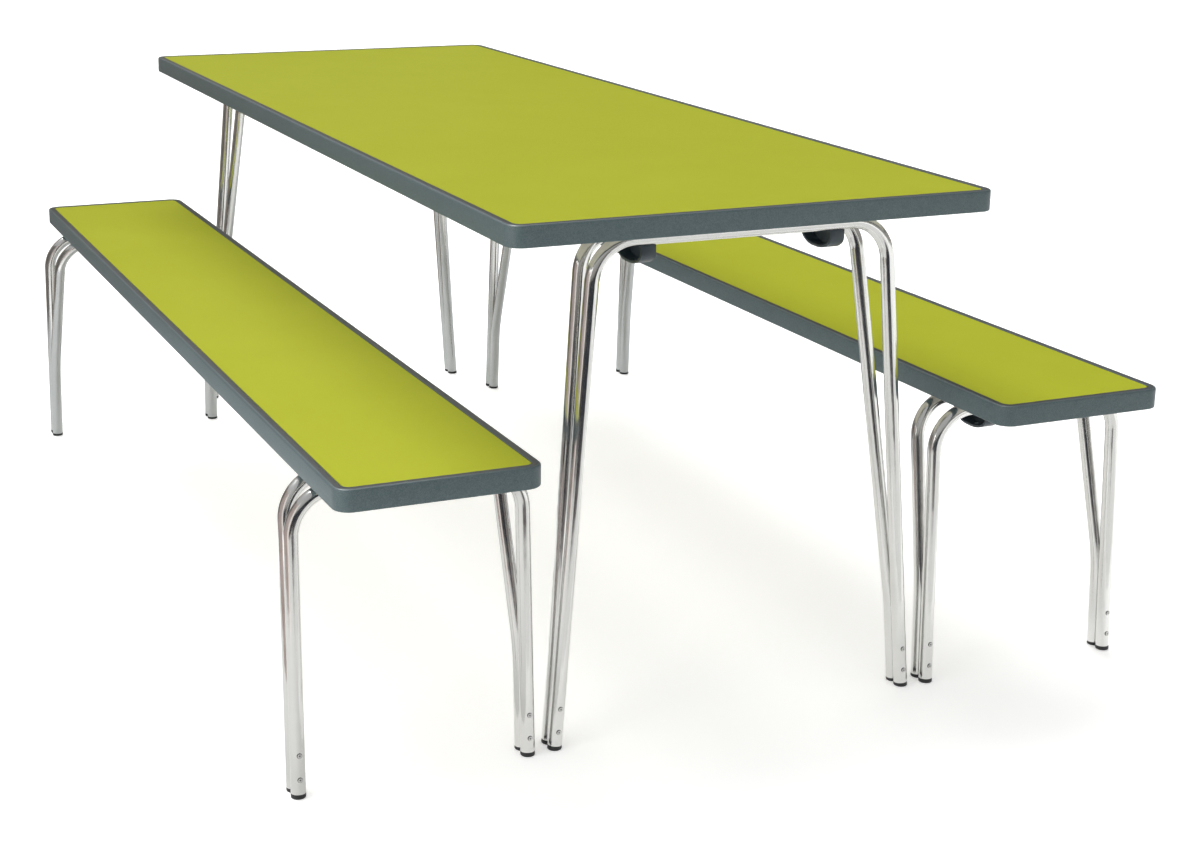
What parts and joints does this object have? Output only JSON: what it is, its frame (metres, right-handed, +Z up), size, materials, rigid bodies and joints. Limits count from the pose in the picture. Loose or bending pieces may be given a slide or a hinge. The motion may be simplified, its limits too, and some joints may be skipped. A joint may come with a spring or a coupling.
{
  "type": "folding cafeteria table with benches",
  "caption": "Folding cafeteria table with lime green laminate top, grey moulded edge and bent tube legs, with a matching low folding bench along each long side",
  "frame": {"origin": "on the floor, at the middle of the whole set's footprint", "axes": "+X along the tops towards the end that the benches overhang, +Y across to the right-hand bench, +Z up"},
  "size_m": [1.902, 1.2372, 0.7],
  "materials": {
    "laminate": "smooth lime green decorative laminate with a slight sheen",
    "board_core": "raw chipboard",
    "backing_sheet": "plain off-white balancing sheet",
    "moulded_edge": "finely textured moulded edge, dark blue-grey",
    "aluminium_tube": "bright polished tube",
    "cam_plastic": "moulded dark grey plastic",
    "foot_plastic": "moulded black plastic",
    "zinc_screw": "bright zinc plate"
  },
  "bodies": {
    "table_top": {"table_laminate": "laminate", "table_core": "board_core", "table_backing": "backing_sheet", "table_edge": "moulded_edge", "table_near_left_cam": "cam_plastic", "table_near_left_cam_screw": "zinc_screw", "table_near_right_cam": "cam_plastic", "table_near_right_cam_screw": "zinc_screw", "table_far_left_cam": "cam_plastic", "table_far_left_cam_screw": "zinc_screw", "table_far_right_cam": "cam_plastic", "table_far_right_cam_screw": "zinc_screw"},
    "table_near_legs": {"table_near_outer_hoop": "aluminium_tube", "table_near_inner_hoop": "aluminium_tube", "table_near_left_foot_cap": "foot_plastic", "table_near_right_foot_cap": "foot_plastic"},
    "table_far_legs": {"table_far_outer_hoop": "aluminium_tube", "table_far_inner_hoop": "aluminium_tube", "table_far_left_foot_cap": "foot_plastic", "table_far_right_foot_cap": "foot_plastic"},
    "left_bench_seat": {"left_bench_laminate": "laminate", "left_bench_core": "board_core", "left_bench_backing": "backing_sheet", "left_bench_edge": "moulded_edge", "left_bench_near_left_cam": "cam_plastic", "left_bench_near_left_cam_screw": "zinc_screw", "left_bench_near_right_cam": "cam_plastic", "left_bench_near_right_cam_screw": "zinc_screw", "left_bench_far_left_cam": "cam_plastic", "left_bench_far_left_cam_screw": "zinc_screw", "left_bench_far_right_cam": "cam_plastic", "left_bench_far_right_cam_screw": "zinc_screw"},
    "left_bench_near_legs": {"left_bench_near_outer_hoop": "aluminium_tube", "left_bench_near_inner_hoop": "aluminium_tube", "left_bench_near_left_foot_cap": "foot_plastic", "left_bench_near_right_foot_cap": "foot_plastic"},
    "left_bench_far_legs": {"left_bench_far_outer_hoop": "aluminium_tube", "left_bench_far_inner_hoop": "aluminium_tube", "left_bench_far_left_foot_cap": "foot_plastic", "left_bench_far_right_foot_cap": "foot_plastic"},
    "right_bench_seat": {"right_bench_laminate": "laminate", "right_bench_core": "board_core", "right_bench_backing": "backing_sheet", "right_bench_edge": "moulded_edge", "right_bench_near_left_cam": "cam_plastic", "right_bench_near_left_cam_screw": "zinc_screw", "right_bench_near_right_cam": "cam_plastic", "right_bench_near_right_cam_screw": "zinc_screw", "right_bench_far_left_cam": "cam_plastic", "right_bench_far_left_cam_screw": "zinc_screw", "right_bench_far_right_cam": "cam_plastic", "right_bench_far_right_cam_screw": "zinc_screw"},
    "right_bench_near_legs": {"right_bench_near_outer_hoop": "aluminium_tube", "right_bench_near_inner_hoop": "aluminium_tube", "right_bench_near_left_foot_cap": "foot_plastic", "right_bench_near_right_foot_cap": "foot_plastic"},
    "right_bench_far_legs": {"right_bench_far_outer_hoop": "aluminium_tube", "right_bench_far_inner_hoop": "aluminium_tube", "right_bench_far_left_foot_cap": "foot_plastic", "right_bench_far_right_foot_cap": "foot_plastic"}
  },
  "joints": [
    {"name": "table_near_fold", "type": "hinge", "parent": "table_top", "child": "table_near_legs", "pos_m": [0.764, 0, 0.662], "axis": [0, 1, 0], "range_deg": [0, 92]},
    {"name": "table_far_fold", "type": "hinge", "parent": "table_top", "child": "table_far_legs", "pos_m": [-0.836, 0, 0.662], "axis": [0, -1, 0], "range_deg": [0, 92]},
    {"name": "left_bench_place", "type": "slide", "parent": "table_top", "child": "left_bench_seat", "axis": [0, -1, 0], "range_m": [0, 0.45]},
    {"name": "left_bench_near_fold", "type": "hinge", "parent": "left_bench_seat", "child": "left_bench_near_legs", "pos_m": [0.766, -0.456, 0.387], "axis": [0, 1, 0], "range_deg": [0, 92]},
    {"name": "left_bench_far_fold", "type": "hinge", "parent": "left_bench_seat", "child": "left_bench_far_legs", "pos_m": [-0.694, -0.456, 0.387], "axis": [0, -1, 0], "range_deg": [0, 92]},
    {"name": "right_bench_place", "type": "slide", "parent": "table_top", "child": "right_bench_seat", "axis": [0, 1, 0], "range_m": [0, 0.45]},
    {"name": "right_bench_near_fold", "type": "hinge", "parent": "right_bench_seat", "child": "right_bench_near_legs", "pos_m": [0.766, 0.456, 0.387], "axis": [0, 1, 0], "range_deg": [0, 92]},
    {"name": "right_bench_far_fold", "type": "hinge", "parent": "right_bench_seat", "child": "right_bench_far_legs", "pos_m": [-0.694, 0.456, 0.387], "axis": [0, -1, 0], "range_deg": [0, 92]}
  ]
}
